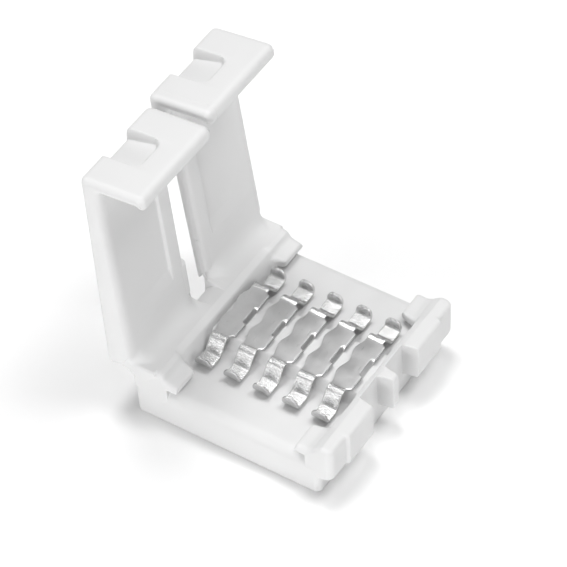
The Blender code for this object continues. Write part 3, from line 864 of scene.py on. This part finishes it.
def contact_tubes(index, housing, c, count):
    """Tubes of one contact: the bent sheet, and the leg turned down from its right edge."""
    places, points, tangents = evenly(sheet_line(c, housing.floor), SHEET_SPACING)
    normals = np.stack([-tangents[:, 1], tangents[:, 0]], axis=-1)
    reach = np.abs(points[:, 0])
    right = contact_right_edge(index, housing, c, count)
    left = right - c.foot_width
    wide = 1.0 - smooth_step(reach, c.plate_half + c.shoulder_gap, c.shoulder_run)
    lobe = (1.0 - np.cos(np.clip(reach / c.plate_half, 0.0, 1.0) * 2.0 * math.pi)) / 2.0
    spread = c.plate_width - c.foot_width - c.side_step + c.waist * (lobe - 0.5)
    dome = inset(c.foot_width * c.tip_dome, np.minimum(places, places[-1] - places))
    notch = 1.0 - smooth_step(reach, c.notch_half, c.notch_run)
    left_edge = left - wide * spread + dome
    right_edge = right + wide * c.side_step - dome - notch * c.notch_depth
    sheet = ribbon(points, normals, left_edge, right_edge, notch * c.notch_droop, c)
    crown = housing.floor + c.seat_gap + c.plate_rise
    leg_y = np.linspace(-c.leg_length / 2, c.leg_length / 2, 14)
    edge = right + c.side_step - c.leg_offset
    bottom = crown - c.leg_depth + inset(c.leg_corner, c.leg_length / 2 - np.abs(leg_y))
    leg = Outline(len(leg_y))
    leg.add((edge - c.sheet, bottom, CRISP), (edge, bottom, CRISP),
            (edge, crown + c.leg_lap, CRISP), (edge - c.sheet, crown + c.leg_lap, CRISP))
    return [sheet, carried(leg.rounded(EDGE_STEPS), leg_y)]


class STRIPJOINT_OT_housing(bpy.types.Operator):
    """Make the moulded base"""

    bl_idname = "strip_joint.housing"
    bl_label = "Base Housing"

    def execute(self, context):
        scene = context.scene
        s, c = in_mm(scene.strip_housing), in_mm(scene.strip_contact)
        low, high = BASE_LOW[1], BASE_HIGH[1]
        places = [high - s.ear_length, s.ledge_inner, s.ledge_outer, s.divider / 2, s.gap_cut,
                  c.leg_length / 2 + c.leg_clearance]
        steps = [(place, s.step_run) for place in places]
        steps.append((c.plate_half - c.block_clearance + c.block_run / 2, c.block_run))
        fine = [(side * place, run) for place, run in steps for side in (-1, 1)]
        y = np.unique(np.round(np.concatenate([stations(low, high, BASE_SPACING, fine)] + [
            end_stations(low, high, radius)
            for radius in (s.corner_radius, s.edge_radius, s.sill_radius)]), 4))
        outline = housing_outline(y, s, c, scene.strip_stage.contact_count)
        piece = solid_from_tubes("base_moulding", [carried(outline.rounded(BASE_STEPS), y)])
        dress(piece, moulded_plastic("base_plastic", scene.strip_finishes), "base",
              ["base_housing"])
        return {"FINISHED"}


class STRIPJOINT_OT_lids(bpy.types.Operator):
    """Make the two lids and the flexible webs that join them to the base"""

    bl_idname = "strip_joint.lids"
    bl_label = "Lids"

    def execute(self, context):
        scene = context.scene
        housing, s = in_mm(scene.strip_housing), in_mm(scene.strip_lid)
        ledge_x = housing.width / 2 + housing.ledge_overhang
        end = BASE_HIGH[1] + s.overrun
        middle = (s.head_gap / 2 + end) / 2
        lap_end = s.plate_gap / 2 + s.notch_run
        fine = [(s.plate_gap / 2 + s.recess_rib, s.recess_step)]
        for sign in (-1, 1):
            fine.append((middle + sign * s.notch_width / 2, s.notch_run))
            fine.append((middle + sign * (s.notch_width - s.notch_rounding) / 2, s.notch_rounding))
        for name, side in zip(LIDS, (-1, 1)):
            band = band_start(name, s)
            tubes = []
            for zone, low, high in (("lid", s.plate_gap / 2, end),
                                    ("head", s.head_gap / 2, lap_end), ("band", band, lap_end)):
                reach = self.reach(low, high, fine, (s.gap_radius, s.edge_radius),
                                   (s.edge_radius, s.inner_radius))
                reach = reach[(reach >= low) & (reach <= high)]
                outline = lid_outline(reach, s, housing.underside, ledge_x, zone, band)
                closed = outline.rounded(LID_STEPS)
                x, z = opened(closed[..., 0], closed[..., 1], OPENING[name])
                tubes.append(carried(np.stack([x, z], axis=-1), side * reach))
            piece = solid_from_tubes(name + "_moulding", tubes)
            slot = name + "_white"
            surface = moulded_plastic(slot, scene.strip_finishes)
            dress(piece, surface, name, [name])
            self.web(name, side, s, surface, slot)
        return {"FINISHED"}

    def reach(self, low, high, fine, low_radii, high_radii):
        """Stations from low to high, with an even arc of them for each rounded end."""
        runs = [stations(low, high, LID_SPACING, fine)]
        runs += [low + rounded_run(radius) for radius in low_radii]
        runs += [high - rounded_run(radius) for radius in high_radii]
        return np.unique(np.round(np.concatenate(runs), 4))

    def web(self, name, side, s, surface, slot):
        """Flexible web along one lid's hinge; it widens a little towards the lid's longer end."""
        low, high = band_start(name, s), BASE_HIGH[1] - s.skin
        radii = (s.gap_radius, s.inner_radius)
        reach = self.reach(low, high, [], radii, radii)
        outline = web_outline(reach, s, BASE_HIGH[2], OPENING[name], low)
        tube = carried(outline.rounded(WEB_STEPS), side * reach)
        climb = smooth_step(tube[..., 2], HINGE_Z, s.web_reach)
        tube[..., 1] *= 1.0 + climb * (s.overrun - s.web_proud) / high
        piece = solid_from_tubes(name + "_web", [tube])
        piece.data.materials.append(surface)
        (HINGE_Z - 0.7) * MM
        (HINGE_Z - 0.2) * MM
        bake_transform(piece)


class STRIPJOINT_OT_contacts(bpy.types.Operator):
    """Make the stamped contacts"""

    bl_idname = "strip_joint.contacts"
    bl_label = "Contacts"

    def execute(self, context):
        scene = context.scene
        housing, c = in_mm(scene.strip_housing), in_mm(scene.strip_contact)
        count = scene.strip_stage.contact_count
        surface = tin_plate("tin_plate", scene.strip_finishes, c.crinkle_start * MM)
        for index in range(count):
            node = "contact_%d" % (index + 1)
            piece = solid_from_tubes(node + "_sheet", contact_tubes(index, housing, c, count))
            dress(piece, surface, "base", [node])
        return {"FINISHED"}


class STRIPJOINT_OT_stage(bpy.types.Operator):
    """Set the floor, the lamps and the camera"""

    bl_idname = "strip_joint.stage"
    bl_label = "Stage"

    def execute(self, context):
        scene = context.scene
        stage = scene.strip_stage
        self.floor(stage)
        self.world(scene, stage)
        for lamp in LAMPS:
            self.lamp(*lamp)
        self.camera(scene, stage)
        scene.view_settings.view_transform = "Standard"
        return {"FINISHED"}

    def floor(self, stage):
        """Pale floor that shows white where it is lit and keeps the part's shadow."""
        half, level = stage.floor_half, -stage.floor_drop
        mesh = bpy.data.meshes.new("floor")
        mesh.from_pydata([(-half, -half, level), (half, -half, level), (half, half, level),
                          (-half, half, level)], [], [(0, 1, 2, 3)])
        graph = Graph(bpy.data.materials.new("floor_white"))
        mesh.materials.append(graph.finish({
            "Base Color": shade(stage.floor_colour, 1.0), "Roughness": 0.9,
            "Specular IOR Level": 0.0}))
        put("floor", mesh)

    def world(self, scene, stage):
        """Even surroundings: white to the camera, dim in the metal and dimmer as a light."""
        graph = Graph(bpy.data.worlds.new("surroundings"))
        graph.nodes.remove(graph.nodes["Background"])
        scene.world = graph.owner
        cast, mirrored, seen = (
            graph.node("ShaderNodeBackground", {}, {"Color": (level, level, level, 1.0)})
            for level in (stage.cast, stage.mirrored, 1.0))
        glossy = graph.node("ShaderNodeLightPath", output="Is Glossy Ray")
        unseen = graph.node("ShaderNodeMixShader", {}, {0: glossy, 1: cast, 2: mirrored})
        camera = graph.node("ShaderNodeLightPath", output="Is Camera Ray")
        shown = graph.node("ShaderNodeMixShader", {}, {0: camera, 1: unseen, 2: seen})
        graph.feed(graph.nodes["World Output"], {"Surface": shown})

    def lamp(self, name, bearing, rise, away, size, power):
        """Square area lamp aimed at the part."""
        light = bpy.data.lights.new(name, "AREA")
        light.shape = "SQUARE"
        light.size = size
        light.energy = power
        lamp = put(name, light)
        lamp.location = self.direction(math.radians(bearing), math.radians(rise)) * away
        lamp.rotation_euler = (-lamp.location).to_track_quat("-Z", "Y").to_euler()

    def direction(self, bearing, rise):
        """Unit vector at a bearing round the part, from -Y towards +X, and a rise over it."""
        flat = math.cos(rise)
        return Vector((math.sin(bearing) * flat, -math.cos(bearing) * flat, math.sin(rise)))

    def camera(self, scene, stage):
        """Camera on the photograph's line of sight: bearing, height, then a turn about it."""
        back = self.direction(stage.azimuth, stage.elevation)
        right = Vector((math.cos(stage.azimuth), math.sin(stage.azimuth), 0.0))
        up = back.cross(right)
        turned_right = right * math.cos(stage.roll) + up * math.sin(stage.roll)
        turned_up = up * math.cos(stage.roll) - right * math.sin(stage.roll)
        data = bpy.data.cameras.new("camera")
        data.lens = stage.lens
        data.clip_start = 0.01
        data.clip_end = 10.0
        camera = put("camera", data)
        turn = Matrix((turned_right, turned_up, back)).transposed().to_4x4()
        place = Vector(stage.aim) + back * stage.distance
        camera.matrix_world = Matrix.Translation(place) @ turn
        scene.camera = camera


class STRIPJOINT_PT_panel(bpy.types.Panel):
    """Buttons and sizes for the strip joint"""

    bl_idname = "STRIPJOINT_PT_panel"
    bl_label = "Strip Joint"
    bl_space_type = "VIEW_3D"
    bl_region_type = "UI"
    bl_category = "Strip Joint"

    def draw(self, context):
        for operator in OPERATORS:
            self.layout.operator(operator.bl_idname)
        for name in GROUPS:
            group = getattr(context.scene, name)
            column = self.layout.column()
            for key in group.__annotations__:
                column.prop(group, key, text=key.replace("_", " ").title())


OPERATORS = (STRIPJOINT_OT_housing, STRIPJOINT_OT_lids, STRIPJOINT_OT_contacts, STRIPJOINT_OT_stage)
GROUPS = {"strip_housing": HousingSizes, "strip_contact": ContactSizes, "strip_lid": LidSizes,
          "strip_finishes": Finishes, "strip_stage": StageSizes}


def register():
    for group in GROUPS.values():
        bpy.utils.register_class(group)
    for name, group in GROUPS.items():
        setattr(bpy.types.Scene, name, PointerProperty(type=group))
    for item in (*OPERATORS, STRIPJOINT_PT_panel):
        bpy.utils.register_class(item)


def unregister():
    for item in reversed((*OPERATORS, STRIPJOINT_PT_panel)):
        bpy.utils.unregister_class(item)
    for name in GROUPS:
        delattr(bpy.types.Scene, name)
    for group in reversed(list(GROUPS.values())):
        bpy.utils.unregister_class(group)


def main():
    """Make every piece."""
    register()
    bpy.ops.strip_joint.housing()
    bpy.ops.strip_joint.lids()
    bpy.ops.strip_joint.contacts()
    bpy.ops.strip_joint.stage()
    bpy.context.view_layer.update()


if __name__ == "__main__":
    main()
